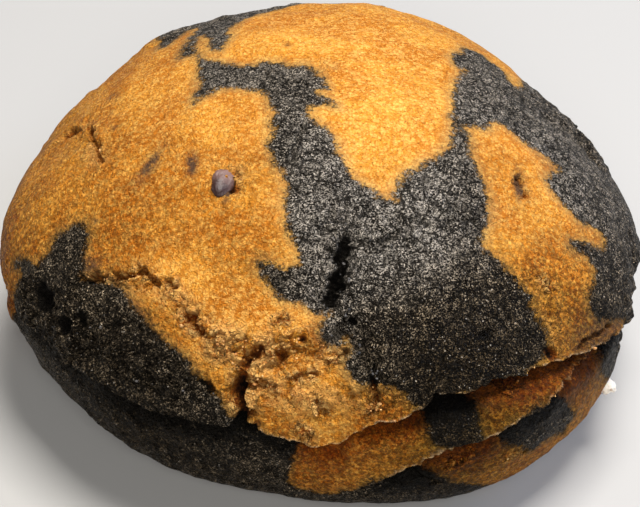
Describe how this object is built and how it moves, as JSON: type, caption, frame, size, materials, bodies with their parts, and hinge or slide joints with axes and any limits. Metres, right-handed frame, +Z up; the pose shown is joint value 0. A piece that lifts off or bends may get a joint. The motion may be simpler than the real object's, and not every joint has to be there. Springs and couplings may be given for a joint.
{
  "type": "marbled cookie",
  "caption": "Thick domed biscuit of two marbled doughs, with a cracked crust, a raised ragged lip round its waist and a flat base.",
  "frame": {"origin": "centre of the flat base's level, under the middle of the cookie's outline, where it rests", "axes": "+Z up through the crown, -Y towards the front where the crust has split open, +X to the right seen from the front"},
  "size_m": [0.0914, 0.088, 0.0438],
  "materials": {
    "marbled_crust": "matt baked crust, orange-gold and near-black doughs marbled together"
  },
  "bodies": {
    "root": {"cookie": "marbled_crust"}
  },
  "joints": []
}
